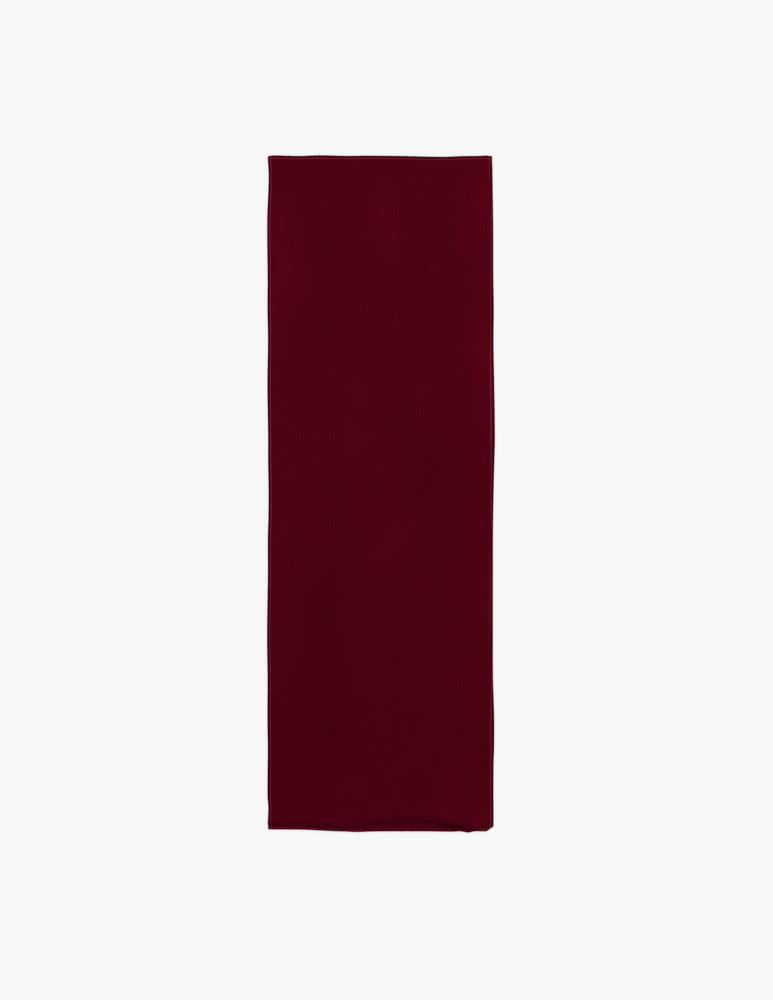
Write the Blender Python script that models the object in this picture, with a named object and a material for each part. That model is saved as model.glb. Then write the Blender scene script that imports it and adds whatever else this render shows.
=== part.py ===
"""A rib-knit scarf, folded once across its length and lying flat.

Metres, +Z up.  The origin is on the surface it lies on, under the middle of the folded scarf.
The fold is at +Y and the two free ends are at -Y.  The lower half shows along the +X side.
The one knitted panel is two solids, parted by a hair under the fold: the half on top, which
also goes round the fold, and the half beneath it.
"""

import math
from collections import namedtuple

import bmesh
import bpy

MM = 0.001

# The knitted panel, and how far it reaches each way from its middle once it is folded across.
PANEL_WIDTH = 300 * MM
PANEL_LENGTH = 1800 * MM
FOLDED_LENGTH = PANEL_LENGTH / 2
REACH = FOLDED_LENGTH / 2

# The rib: broad raised columns with a narrow furrow between them.
RIB_COUNT = 59
RIB_HEIGHT = 0.9 * MM
CREST_SHARE = 0.56
WALL = 1.5 * MM
THICKNESS = WALL + RIB_HEIGHT
SOFT_EDGE = 0.7 * MM

# The lower half is pressed flat by the one on top, a hair below it.
UNDER_THICKNESS = 2.2 * MM
UNDER_RIB_HEIGHT = 0.8 * MM
GAP = 0.3 * MM

# The fold is a fat loop, a little higher than the two halves beside it.
FOLD_RADIUS = 3.3 * MM
FOLD_RISE_LENGTH = 34 * MM
FOLD_FOOT = 3.5 * MM
FOLD_STEPS = 7
FOLD_START = REACH - FOLD_RADIUS
RIBS_FADE_FROM = math.radians(95)
RIBS_FADE_TO = math.radians(150)

# How far from a free end or from the fold its own waviness still moves the cloth.
END_WAVE = 90 * MM
FOLD_WAVE = 60 * MM

# Columns across a plain face, how far in from each side one more lies, and how many ribs of
# the lower half show along its sides.
PLAIN_COLUMNS = 28
SIDE_COLUMN = 0.012
SIDE_RIBS = 1.4

KNIT_COLOUR = (0.072, 0.0012, 0.008, 1.0)
KNIT_ROUGHNESS = 0.95

# Where the two sides of each half run, in mm, from the free ends to the fold.
Side = namedtuple("Side", "along left right under_right")
SIDES = (
    Side(along=-450, left=-150.7, right=143.8, under_right=149.7),
    Side(along=-425, left=-150.1, right=143.8, under_right=149.9),
    Side(along=-361, left=-150.7, right=144.0, under_right=149.9),
    Side(along=-297, left=-151.0, right=144.3, under_right=150.8),
    Side(along=-244, left=-150.5, right=145.6, under_right=149.1),
    Side(along=-190, left=-151.6, right=147.8, under_right=148.9),
    Side(along=-105, left=-150.7, right=148.4, under_right=148.9),
    Side(along=-60, left=-150.4, right=147.2, under_right=149.0),
    Side(along=-31, left=-150.2, right=144.9, under_right=149.2),
    Side(along=1, left=-149.4, right=144.6, under_right=149.8),
    Side(along=76, left=-150.2, right=144.6, under_right=151.6),
    Side(along=145, left=-150.8, right=144.1, under_right=150.8),
    Side(along=205, left=-150.3, right=143.6, under_right=149.6),
    Side(along=258, left=-151.0, right=143.8, under_right=150.3),
    Side(along=354, left=-151.2, right=144.6, under_right=149.3),
    Side(along=422, left=-149.6, right=147.0, under_right=148.4),
    Side(along=450, left=-150.7, right=147.8, under_right=147.9),
)

# How far each free end stops short of the straight end line, in mm, across the scarf.
End = namedtuple("End", "across upper under")
ENDS = (
    End(across=-151, upper=8.7, under=3.2),
    End(across=-100, upper=8.6, under=2.8),
    End(across=-65, upper=7.4, under=1.0),
    End(across=-48, upper=7.6, under=0.5),
    End(across=-31, upper=9.2, under=-0.2),
    End(across=-15, upper=11.9, under=0.4),
    End(across=5, upper=13.7, under=0.7),
    End(across=25, upper=14.8, under=0.7),
    End(across=45, upper=15.4, under=0.7),
    End(across=65, upper=14.3, under=0.7),
    End(across=81, upper=12.8, under=0.4),
    End(across=95, upper=11.3, under=0.4),
    End(across=105, upper=9.0, under=0.9),
    End(across=112, upper=6.0, under=0.0),
    End(across=117, upper=4.1, under=-0.7),
    End(across=121, upper=3.9, under=0.2),
    End(across=126, upper=4.9, under=0.8),
    End(across=131, upper=5.8, under=0.8),
    End(across=136, upper=6.4, under=0.7),
    End(across=140, upper=6.9, under=0.9),
    End(across=145, upper=8.8, under=4.2),
    End(across=149, upper=9.0, under=6.8),
    End(across=151, upper=9.0, under=10.5),
)

# How far the fold stands out past its straight line, in mm, across the scarf.
Fold = namedtuple("Fold", "across out")
FOLD_LINE = (
    Fold(across=-151, out=0.6),
    Fold(across=-146, out=0.5),
    Fold(across=-128, out=0.2),
    Fold(across=-108, out=-0.4),
    Fold(across=-82, out=0.7),
    Fold(across=-48, out=-0.05),
    Fold(across=-15, out=0.15),
    Fold(across=25, out=-0.3),
    Fold(across=66, out=-1.15),
    Fold(across=89, out=-1.25),
    Fold(across=106, out=-0.45),
    Fold(across=129, out=-0.15),
    Fold(across=140, out=0.25),
    Fold(across=148, out=-0.4),
)

# Where the upper half doesn't lie tight on the lower one, in mm.
Swell = namedtuple("Swell", "across along half_width half_length height")
SWELLS = (
    Swell(across=96, along=-450, half_width=31, half_length=95, height=6.2),
    Swell(across=35, along=-450, half_width=85, half_length=44, height=1.8),
    Swell(across=95, along=-215, half_width=50, half_length=150, height=0.9),
    Swell(across=-35, along=-270, half_width=48, half_length=120, height=1.0),
    Swell(across=12, along=-55, half_width=55, half_length=90, height=1.2),
    Swell(across=-120, along=-40, half_width=28, half_length=140, height=0.8),
    Swell(across=20, along=130, half_width=60, half_length=110, height=1.1),
    Swell(across=124, along=215, half_width=24, half_length=230, height=1.3),
    Swell(across=-118, along=300, half_width=26, half_length=150, height=1.2),
    Swell(across=-8, along=385, half_width=45, half_length=60, height=0.9),
    Swell(across=150, along=40, half_width=34, half_length=80, height=1.0),
    Swell(across=150, along=-185, half_width=28, half_length=70, height=0.8),
    Swell(across=150, along=345, half_width=30, half_length=60, height=0.8),
    Swell(across=-151, along=195, half_width=30, half_length=85, height=1.1),
    Swell(across=-151, along=-130, half_width=32, half_length=75, height=0.9),
    Swell(across=-151, along=-330, half_width=26, half_length=60, height=0.7),
)

# The free end of the upper half droops where it stands off the lower one.
END_DROOP = 1.6
END_DROOP_LENGTH = 12 * MM

# Cross rows of each half, in mm, from its free end towards the fold, closer where its end
# waves.  The end rows of the lower half are ribbed right across, as far as it is in view.
UPPER_END_ROWS = (-450, -448.6, -444, -436, -420, -398, -368, -325)
UPPER_ROWS = (-270, -205, -135, -65, 5, 75, 145, 215, 285, 350, 412, 431)
UNDER_END_ROWS = (-450, -449, -429)
UNDER_ROWS = (-424, -361, -297, -244, -190, -105, -60, -31, 1, 76, 145, 205, 258, 354, 422)

Point = namedtuple("Point", "share height")
Station = namedtuple("Station", "along turn")


def ease(part):
    """0 up to 0, 1 from 1 on, and a smooth rise between."""
    part = min(max(part, 0.0), 1.0)
    return part * part * (3 - 2 * part)


def hump(distance):
    """1 in the middle, falling smoothly to 0 at a distance of 1."""
    return math.cos(min(abs(distance), 1.0) * math.pi / 2) ** 2


def read(rows, place, column):
    """Read a column of a table at a place in its first column, on a smooth curve through the rows."""
    first = 0
    while first < len(rows) - 2 and place > rows[first + 1][0]:
        first += 1
    nearby = [rows[min(max(first + step, 0), len(rows) - 1)] for step in (-1, 0, 1, 2)]
    before, start, end, after = (row[0] for row in nearby)
    value_before, value_start, value_end, value_after = (getattr(row, column) for row in nearby)
    lead_in = (value_end - value_before) / (end - before) * (end - start)
    lead_out = (value_after - value_start) / (after - start) * (end - start)
    part = min(max((place - start) / (end - start), 0.0), 1.0)
    return (
        value_start
        + (value_end - value_start) * ease(part)
        + lead_in * part * (1 - part) ** 2
        - lead_out * part * part * (1 - part)
    )


def lift(across, along):
    """How high the upper half stands off its place on the lower one."""
    total = 0.0
    for swell in SWELLS:
        beside = hump((across / MM - swell.across) / swell.half_width)
        before = hump((along / MM - swell.along) / swell.half_length)
        total += swell.height * beside * before
    drooped = END_DROOP * (1 - ease((REACH + along) / END_DROOP_LENGTH))
    return max(total - drooped, 0.0) * MM


def shifted(across, along, half):
    """Move a place along the scarf with the waviness of its free end and of the fold."""
    near_end = ease(1 - (REACH + along) / END_WAVE)
    near_fold = ease(1 - (REACH - along) / FOLD_WAVE)
    short = read(ENDS, across / MM, half) * MM
    out = read(FOLD_LINE, across / MM, "out") * MM
    return along + short * near_end + out * near_fold


def ribbed_profile(top, furrow_depth):
    """Points across a ribbed face, from one soft side to the other."""
    crest = CREST_SHARE / 2
    side = SOFT_EDGE / PANEL_WIDTH
    points = [Point(0.0, top - SOFT_EDGE), Point(side, top)]
    for furrow in range(1, RIB_COUNT):
        points.append(Point((furrow - 0.5 + crest) / RIB_COUNT, top))
        points.append(Point(furrow / RIB_COUNT, top - furrow_depth))
        points.append(Point((furrow + 0.5 - crest) / RIB_COUNT, top))
    return points + [Point(1 - side, top), Point(1.0, top - SOFT_EDGE)]


def plain_profile(height):
    """Points across a plain face."""
    even = [column / PLAIN_COLUMNS for column in range(1, PLAIN_COLUMNS)]
    return [Point(share, height) for share in [0.0, SIDE_COLUMN, *even, 1 - SIDE_COLUMN, 1.0]]


def side_ribs_profile(top, furrow_depth):
    """Points across a face with ribs along its two sides alone."""
    margin = SIDE_RIBS / RIB_COUNT
    sides = [point for point in ribbed_profile(top, furrow_depth) if not margin < point.share < 1 - margin]
    middle = [point for point in plain_profile(top) if margin < point.share < 1 - margin]
    return sorted(sides + middle)


def trimmed(profile, top):
    """The same points where the cloth ends: its edge is rounded like its sides."""
    return [Point(point.share, min(point.height, top - SOFT_EDGE)) for point in profile]


def upper_stations():
    """The cross rows of the upper half, from its free end round the fold to its foot."""
    flat = [Station(along * MM, 0.0) for along in UPPER_END_ROWS + UPPER_ROWS]
    bend = [Station(FOLD_START, math.pi * step / FOLD_STEPS) for step in range(FOLD_STEPS + 1)]
    return [*flat, *bend, Station(FOLD_START - FOLD_FOOT, math.pi)]


def upper_point(point, station):
    """Where a profile's point lies on the upper half, at one of its cross rows."""
    below = station.turn >= math.pi
    along = FOLD_START if below else station.along
    left = read(SIDES, along / MM, "left") * MM
    right = read(SIDES, along / MM, "right") * MM
    across = left + point.share * (right - left)
    placed = shifted(across, along, "upper")
    radius = FOLD_RADIUS - THICKNESS + point.height
    if below:
        return across, placed + station.along - FOLD_START, FOLD_RADIUS - radius
    if station.turn > 0:
        return across, placed + radius * math.sin(station.turn), FOLD_RADIUS + radius * math.cos(station.turn)
    resting = UNDER_THICKNESS + GAP + lift(across, along)
    looped = 2 * FOLD_RADIUS - THICKNESS
    rise = ease(1 - (FOLD_START - along) / FOLD_RISE_LENGTH)
    return across, placed, resting + (looped - resting) * rise + point.height


def under_point(point, along):
    """Where a profile's point lies on the lower half, at one of its cross rows."""
    left = read(SIDES, along / MM, "left") * MM + GAP
    right = read(SIDES, along / MM, "under_right") * MM
    across = left + point.share * (right - left)
    if along > FOLD_START - FOLD_WAVE / 10:
        return across, along + shifted(across, FOLD_START, "under") - FOLD_START, point.height
    return across, shifted(across, along, "under"), point.height


def sew(mesh, near, far):
    """Faces between two rows of (share, vertex), like a zip where their points don't match."""
    if [share for share, _ in near] == [share for share, _ in far]:
        for column in range(len(near) - 1):
            mesh.faces.new((near[column][1], near[column + 1][1], far[column + 1][1], far[column][1]))
        return
    at_near, at_far = 0, 0
    while at_near < len(near) - 1 or at_far < len(far) - 1:
        far_done = at_far == len(far) - 1
        near_left = at_near < len(near) - 1
        if near_left and (far_done or near[at_near + 1][0] <= far[at_far + 1][0]):
            mesh.faces.new((near[at_near][1], near[at_near + 1][1], far[at_far][1]))
            at_near += 1
        else:
            mesh.faces.new((near[at_near][1], far[at_far + 1][1], far[at_far][1]))
            at_far += 1


def make_wall(name, outer, inner):
    """One closed wall of cloth from the cross rows of its two faces, each row of (share, place)."""
    mesh = bmesh.new()
    outer = [[(share, mesh.verts.new(place)) for share, place in row] for row in outer]
    inner = [[(share, mesh.verts.new(place)) for share, place in row] for row in inner]
    for number in range(len(outer) - 1):
        sew(mesh, outer[number], outer[number + 1])
        sew(mesh, inner[number], inner[number + 1])
        for side in (0, -1):
            corners = (outer[number], outer[number + 1], inner[number + 1], inner[number])
            mesh.faces.new([row[side][1] for row in corners])
    for end in (0, -1):
        sew(mesh, outer[end], inner[end])
    bmesh.ops.recalc_face_normals(mesh, faces=mesh.faces)
    data = bpy.data.meshes.new(name)
    mesh.to_mesh(data)
    mesh.free()
    data.materials.append(knit_material(name + "_knit"))
    made = bpy.data.objects.new(name, data)
    bpy.context.collection.objects.link(made)
    return made


def knit_material(name):
    """Dark red wool, dull all over."""
    material = bpy.data.materials.new(name)
    material.use_nodes = True
    shader = material.node_tree.nodes["Principled BSDF"]
    shader.inputs["Base Color"].default_value = KNIT_COLOUR
    shader.inputs["Roughness"].default_value = KNIT_ROUGHNESS
    shader.inputs["Metallic"].default_value = 0.0
    return material


def make_upper_stretch():
    """The half on top, ribbed on its outer face, with the fold at its far end."""
    outer, inner = [], []
    for number, station in enumerate(upper_stations()):
        faded = ease((station.turn - RIBS_FADE_FROM) / (RIBS_FADE_TO - RIBS_FADE_FROM))
        profile = ribbed_profile(THICKNESS, RIB_HEIGHT * (1 - faded))
        if number == 0:
            profile = trimmed(profile, THICKNESS)
        outer.append([(point.share, upper_point(point, station)) for point in profile])
        inner.append([(point.share, upper_point(point, station)) for point in plain_profile(0.0)])
    return make_wall("upper_stretch", outer, inner)


def make_under_stretch():
    """The half beneath, plain where it is hidden, and flat underneath."""
    ribbed = ribbed_profile(UNDER_THICKNESS, UNDER_RIB_HEIGHT)
    hidden = side_ribs_profile(UNDER_THICKNESS, UNDER_RIB_HEIGHT)
    rows = [(along * MM, ribbed) for along in UNDER_END_ROWS]
    rows[0] = (rows[0][0], trimmed(ribbed, UNDER_THICKNESS))
    rows += [(along * MM, hidden) for along in UNDER_ROWS]
    rows.append((FOLD_START - FOLD_FOOT - GAP, hidden))
    outer, inner = [], []
    for along, profile in rows:
        outer.append([(point.share, under_point(point, along)) for point in profile])
        inner.append([(point.share, under_point(point, along)) for point in plain_profile(0.0)])
    return make_wall("under_stretch", outer, inner)


for leftover in list(bpy.data.objects):
    bpy.data.objects.remove(leftover)

make_upper_stretch()
make_under_stretch()
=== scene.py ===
"""A rib-knit scarf, folded once across its length and lying flat, dressed in its knit.

Metres, +Z up.  The origin is on the surface it lies on, under the middle of the folded scarf.
The fold is at +Y and the two free ends are at -Y.  The lower half shows along the +X side.
"""

import math
from collections import namedtuple

import bmesh
import bpy
import numpy as np
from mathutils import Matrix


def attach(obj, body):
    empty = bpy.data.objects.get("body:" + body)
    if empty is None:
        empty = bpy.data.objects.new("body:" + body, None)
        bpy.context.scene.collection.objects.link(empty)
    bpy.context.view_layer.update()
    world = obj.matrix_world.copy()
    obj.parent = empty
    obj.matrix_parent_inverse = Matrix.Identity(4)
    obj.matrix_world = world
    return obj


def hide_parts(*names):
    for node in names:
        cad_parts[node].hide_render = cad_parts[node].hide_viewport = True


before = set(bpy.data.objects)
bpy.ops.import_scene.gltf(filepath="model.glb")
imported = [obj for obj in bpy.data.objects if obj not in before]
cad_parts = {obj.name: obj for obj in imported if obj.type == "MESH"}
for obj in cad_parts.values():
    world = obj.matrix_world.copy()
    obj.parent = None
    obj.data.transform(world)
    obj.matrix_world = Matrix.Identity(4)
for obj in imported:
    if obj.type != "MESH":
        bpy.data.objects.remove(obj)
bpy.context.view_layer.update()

MM = 0.001

# --------------------------------------------------------------------
# The lower half of the panel: soft dull wool, knitted lengthwise in a two-by-two rib.
# It is pressed flat by the half on top of it, and only its right side and its cast-on end are
# in view.  Nothing fixes it but its own weight.

PANEL_WIDTH = 300 * MM
PANEL_LENGTH = 1800 * MM
REACH = PANEL_LENGTH / 4

RIB_COUNT = 59
UNDER_THICKNESS = 2.2 * MM
UNDER_RIB_HEIGHT = 0.8 * MM
GAP = 0.3 * MM
COURSE = 1.0 * MM

# The fold at the far end of both halves, and the foot that it stands on.
FOLD_RADIUS = 3.3 * MM
FOLD_FOOT = 3.5 * MM
FOLD_START = REACH - FOLD_RADIUS
END_WAVE = 90 * MM
FOLD_WAVE = 60 * MM
UNDER_FOLD_STRETCH = 6 * MM

# The rib's cross-section, from one furrow to the next: two rounded wales with a dip between.
Column = namedtuple("Column", "share height")
RIB = (
    Column(share=0.00, height=0.00),
    Column(share=0.07, height=0.18),
    Column(share=0.15, height=0.72),
    Column(share=0.24, height=0.98),
    Column(share=0.36, height=1.00),
    Column(share=0.50, height=0.86),
    Column(share=0.64, height=1.00),
    Column(share=0.76, height=0.98),
    Column(share=0.85, height=0.72),
    Column(share=0.93, height=0.18),
)

# The side and end stitches curl down and in, towards the chain that binds them.  The outermost
# wale has no furrow outside it.
EDGE_DROP = 0.9 * MM
EDGE_WIDTH = 1.6 * MM
EDGE_WALE_SHARE = 0.24

# Where the two sides of each half run, in mm, from the free ends to the fold.
Side = namedtuple("Side", "along left right under_right")
SIDES = (
    Side(along=-450, left=-150.7, right=143.8, under_right=149.7),
    Side(along=-425, left=-149.8, right=143.8, under_right=149.8),
    Side(along=-408, left=-150.8, right=143.9, under_right=149.6),
    Side(along=-361, left=-150.7, right=144.0, under_right=149.8),
    Side(along=-340, left=-150.4, right=144.1, under_right=150.5),
    Side(along=-297, left=-151.0, right=144.3, under_right=150.6),
    Side(along=-244, left=-150.8, right=145.6, under_right=149.1),
    Side(along=-190, left=-151.5, right=147.8, under_right=148.9),
    Side(along=-105, left=-150.4, right=148.4, under_right=148.9),
    Side(along=-60, left=-150.5, right=147.2, under_right=149.0),
    Side(along=-31, left=-149.7, right=144.9, under_right=149.3),
    Side(along=1, left=-149.4, right=144.6, under_right=149.8),
    Side(along=45, left=-150.1, right=144.6, under_right=150.9),
    Side(along=76, left=-150.1, right=144.6, under_right=151.6),
    Side(along=145, left=-151.0, right=144.1, under_right=150.7),
    Side(along=205, left=-150.2, right=143.6, under_right=149.7),
    Side(along=246, left=-150.9, right=143.8, under_right=150.1),
    Side(along=285, left=-150.7, right=144.0, under_right=149.5),
    Side(along=362, left=-151.3, right=144.7, under_right=149.3),
    Side(along=422, left=-149.3, right=147.0, under_right=148.4),
    Side(along=450, left=-150.7, right=147.8, under_right=147.9),
)

# How far each free end stops short of the straight end line, in mm, across the scarf.
End = namedtuple("End", "across upper under")
ENDS = (
    End(across=-151, upper=9.9, under=3.3),
    End(across=-106, upper=9.7, under=2.95),
    End(across=-88, upper=8.3, under=2.25),
    End(across=-65, upper=7.4, under=1.0),
    End(across=-48, upper=7.6, under=0.5),
    End(across=-31, upper=9.2, under=-0.2),
    End(across=-15, upper=11.9, under=0.4),
    End(across=5, upper=13.7, under=0.7),
    End(across=25, upper=14.8, under=0.7),
    End(across=45, upper=15.4, under=0.7),
    End(across=65, upper=14.3, under=0.7),
    End(across=81, upper=12.8, under=0.4),
    End(across=95, upper=11.3, under=0.3),
    End(across=105, upper=9.0, under=0.7),
    End(across=112, upper=6.0, under=-0.2),
    End(across=117, upper=4.1, under=-0.9),
    End(across=121, upper=3.9, under=0.2),
    End(across=126, upper=4.9, under=0.8),
    End(across=131, upper=5.8, under=0.8),
    End(across=136, upper=6.4, under=0.7),
    End(across=140, upper=6.9, under=0.9),
    End(across=145, upper=8.8, under=4.2),
    End(across=149, upper=9.0, under=7.0),
    End(across=151, upper=9.0, under=10.7),
)

# How far the fold stands out past its straight line, in mm, across the scarf.
Fold = namedtuple("Fold", "across out")
FOLD_LINE = (
    Fold(across=-151, out=-0.9),
    Fold(across=-148.5, out=-0.3),
    Fold(across=-145, out=0.5),
    Fold(across=-128, out=0.2),
    Fold(across=-108, out=-0.2),
    Fold(across=-82, out=0.7),
    Fold(across=-48, out=-0.05),
    Fold(across=-15, out=0.15),
    Fold(across=30, out=-0.25),
    Fold(across=66, out=-1.15),
    Fold(across=89, out=-1.25),
    Fold(across=106, out=-0.45),
    Fold(across=129, out=-0.15),
    Fold(across=140, out=0.25),
    Fold(across=147, out=-0.35),
    Fold(across=150, out=-0.8),
)

# Rows across the lower half: a rounded lip at its free end, then one every few courses.
UNDER_ROW_SPACING = 8 * MM
LIP_ROWS = (0.0, 0.5 * MM, 1.2 * MM, 1.9 * MM, 2.7 * MM, 3.5 * MM, 4.8 * MM)

# The face that is out of sight is plainer.
PLAIN_COLUMNS = 60

# The flat layout of each half on a square, in steps, with whole ones to a rib and to a course.
# Its ribbed face is laid in one or two lengths side by side, and each has its narrow sides.
FLAT_SQUARE = 1024
FLAT_START = 8
FLAT_LENGTHS = (4, 484)
FLAT_SIDES = (1010, 1016)
FLAT_SIDES_APART = 3
FLAT_NARROW = 2
RIB_STEPS = 8
UNDER_COURSE_STEPS = 1
UNDER_INNER_PLACES = (484, 484)

# Lines of painted highlight along a border, and of painted shade below 0: each a way inside it, in mm.
Line = namedtuple("Line", "inside half_width lightness")
# Along its side, painted shade at the very edge.
UNDER_SIDE_LINES = (
    Line(inside=0.6, half_width=2.6, lightness=-0.34),
)
# Beside the upper half, a painted highlight that thins the shadow cast by its edge.
BESIDE_UPPER_LINES = (
    Line(inside=1.9, half_width=1.6, lightness=1.25),
)
# At its cast-on end, painted shade at the edge, a painted highlight line, and painted shadow where the upper
# half's end casts it.
UNDER_END_LINES = (
    Line(inside=0.6, half_width=1.6, lightness=-0.75),
    Line(inside=2.5, half_width=1.1, lightness=1.0),
    Line(inside=4.0, half_width=1.4, lightness=-0.32),
)

# Patches of painted light, and of painted shade below 0, in mm.  The whole lower half also has a
# little painted shade.
UNDER_PAINTED_SHADE = -0.04
PaintedPatch = namedtuple("PaintedPatch", "across along half_width half_length lightness")
# On the lower half, painted light where the upper half and its raised end cast shadow.
UNDER_PATCHES = (
    PaintedPatch(across=147, along=130, half_width=12, half_length=125, lightness=0.40),
    PaintedPatch(across=135, along=-452, half_width=19, half_length=30, lightness=0.60),
    PaintedPatch(across=-125, along=-452, half_width=70, half_length=40, lightness=0.14),
)

# Waves that run aslant over the cloth, by how far they go each way to a radian, in mm.  They
# lead the rim of a patch astray.
Ripple = namedtuple("Ripple", "across along size")
STRAY = 3.5 * MM
STRAY_ASIDE = (
    Ripple(across=31, along=19, size=1.0),
    Ripple(across=-13, along=8, size=0.6),
)
STRAY_AHEAD = (
    Ripple(across=11, along=-43, size=2.0),
    Ripple(across=6, along=17, size=1.2),
)

# The wool: each yarn is spun from lighter and darker fibres of one dark red.  The pale colour is
# a painted highlight along the borders.
WOOL_DEEP = (0.030, 0.0003, 0.0023, 1.0)
WOOL_LIGHT = (0.141, 0.0015, 0.0133, 1.0)
WOOL_PAINTED_HIGHLIGHT = (0.300, 0.045, 0.075, 1.0)
WOOL_ROUGHNESS = 0.95
WOOL_SHINE = 0.0
WOOL_SHEEN = 0.12
WOOL_SHEEN_TINT = (0.30, 0.004, 0.03, 1.0)
WOOL_SHEEN_ROUGHNESS = 0.5

# The stitches: where a wale and the furrow lie, as shares of a rib from its middle, how the legs
# of a V lean and round off, and the strands and fibres in them.
WALE_MIDDLE = 0.16
FURROW_FROM = 0.36
STITCH_DEPTH = 0.30 * MM
STITCH_LEAN = 0.85
STITCH_UNEVENNESS = 1.2
LEG_ROUND_ACROSS = 0.45
LEG_ROUND_ALONG = 0.55
GAP_SHARPNESS = 3.0
STRANDS = 4.0
STRAND_TWIST = 2.0
STRAND_RELIEF = 0.12
FIBRE_RELIEF = 0.35
FIBRES_A_METRE = 2600
SLUBS_A_METRE = 260
PATCHES_A_METRE = 22
SPECKLE_ROUGHNESS = 0.6

# How much each of them lightens the wool: painted light in the furrows, thinning the shade the
# ribs cast there, and painted shade in the gaps between the legs of each stitch.
PLAIN_LIGHTNESS = 0.181
PAINTED_SHADING_STRENGTH = 0.75
FURROW_PAINTED_LIGHT = 0.22
GAP_PAINTED_SHADE = -0.75
STRAND_LIGHTNESS = 0.10
FIBRE_LIGHTNESS = 0.45
SLUB_LIGHTNESS = 0.10
PATCH_LIGHTNESS = 0.08


def ease(part):
    """0 up to 0, 1 from 1 on, and a smooth rise between."""
    part = np.clip(part, 0.0, 1.0)
    return part * part * (3 - 2 * part)


def read(rows, place, column):
    """Read a column of a table at places in its first column, on a smooth curve through the rows."""
    knots = np.array([row[0] for row in rows], float)
    values = np.array([getattr(row, column) for row in rows], float)
    before = np.maximum(np.arange(len(rows)) - 1, 0)
    after = np.minimum(np.arange(len(rows)) + 1, len(rows) - 1)
    slopes = (values[after] - values[before]) / (knots[after] - knots[before])
    first = np.clip(np.searchsorted(knots, place) - 1, 0, len(rows) - 2)
    span = knots[first + 1] - knots[first]
    part = np.clip((place - knots[first]) / span, 0.0, 1.0)
    rise = (values[first + 1] - values[first]) * ease(part)
    lead_in = slopes[first] * span * part * (1 - part) ** 2
    lead_out = slopes[first + 1] * span * part * part * (1 - part)
    return values[first] + rise + lead_in - lead_out


def shifted(across, along, half):
    """Move a place along the scarf with the waviness of its free end and of the fold."""
    near_end = ease(1 - (REACH + along) / END_WAVE)
    near_fold = ease(1 - (REACH - along) / FOLD_WAVE)
    short = read(ENDS, across / MM, half) * MM
    out = read(FOLD_LINE, across / MM, "out") * MM
    return along + short * near_end + out * near_fold


def edge_drop(distance):
    """How far the cloth curls down at a distance from its side or end."""
    return EDGE_DROP * (1 - np.sqrt(ease(distance / EDGE_WIDTH)))


def hump(distance):
    """1 in the middle, falling smoothly to 0 at a distance of 1."""
    return np.cos(np.clip(np.abs(distance), 0, 1) * math.pi / 2) ** 2


def patch(spot, across, along):
    """How much a swell or a patch of painted shading takes hold at places, 0 to 1."""
    beside = hump((across / MM - spot.across) / spot.half_width)
    before = hump((along / MM - spot.along) / spot.half_length)
    return beside * before


def rippled(ripples, across, along):
    """How far a few ripples lead places astray."""
    east, north = across / MM, along / MM
    return STRAY * sum(wave.size * np.sin(east / wave.across + north / wave.along) for wave in ripples)


def patch_shading(patches, across, along):
    """How much painted light, and painted shade below 0, the patches give places.  No patch has an even rim.
    """
    aside = across + rippled(STRAY_ASIDE, across, along)
    ahead = along + rippled(STRAY_AHEAD, across, along)
    return sum(spot.lightness * patch(spot, aside, ahead) for spot in patches)


def border_shading(lines, distance):
    """How much painted highlight, and painted shade below 0, the lines along a border give places at a
    distance from it.
    """
    return sum(line.lightness * hump((distance / MM - line.inside) / line.half_width) for line in lines)


def ribbed_face():
    """Columns across a ribbed face: their shares of the width, and their heights, 0 to 1."""
    shares = [(rib + column.share) / RIB_COUNT for rib in range(RIB_COUNT) for column in RIB]
    heights = [column.height for rib in range(RIB_COUNT) for column in RIB]
    shares, heights = np.array(shares + [1.0]), np.array(heights + [0.0])
    heights[shares < EDGE_WALE_SHARE / RIB_COUNT] = 1.0
    heights[shares > 1 - EDGE_WALE_SHARE / RIB_COUNT] = 1.0
    return shares, heights


def plain_face(columns):
    """Columns across a plain face."""
    return np.linspace(0.0, 1.0, columns + 1)


def side_distance(shares):
    """How far columns lie from the nearer side."""
    return np.minimum(shares, 1 - shares) * PANEL_WIDTH


def showing(along):
    """How wide a strip of the lower half shows beside the upper one."""
    return (read(SIDES, along / MM, "under_right") - read(SIDES, along / MM, "right")) * MM


def under_row(shares, heights, along):
    """Places across the lower half at one of its rows, at heights above the surface.

    Its last stretch moves with the fold as one.
    """
    left = read(SIDES, along / MM, "left") * MM + GAP
    right = read(SIDES, along / MM, "under_right") * MM
    across = left + shares * (right - left)
    if along > FOLD_START - UNDER_FOLD_STRETCH:
        placed = along + shifted(across, FOLD_START, "under") - FOLD_START
    else:
        placed = shifted(across, along, "under")
    return np.column_stack((across, placed, np.broadcast_to(heights, across.shape)))


def grid_faces(first, rows, columns):
    """Four-sided faces over a grid of vertices, counted from its first one."""
    grid = first + np.arange(rows * columns).reshape(rows, columns)
    corners = (grid[:-1, :-1], grid[:-1, 1:], grid[1:, 1:], grid[1:, :-1])
    return np.stack([corner.ravel() for corner in corners], axis=1).tolist()


def zip_faces(near, near_shares, far, far_shares):
    """Three-sided faces between two rows of vertices that don't match, like a zip."""
    faces, at_near, at_far = [], 0, 0
    while at_near < len(near) - 1 or at_far < len(far) - 1:
        far_done = at_far == len(far) - 1
        near_left = at_near < len(near) - 1
        if near_left and (far_done or near_shares[at_near + 1] <= far_shares[at_far + 1]):
            faces.append((near[at_near], near[at_near + 1], far[at_far]))
            at_near += 1
        else:
            faces.append((near[at_near], far[at_far + 1], far[at_far]))
            at_far += 1
    return faces


def numbers(items, field, count, kind):
    """One number or more of each item of a mesh, in a row."""
    found = np.empty(count * len(items), kind)
    items.foreach_get(field, found)
    return found


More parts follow.
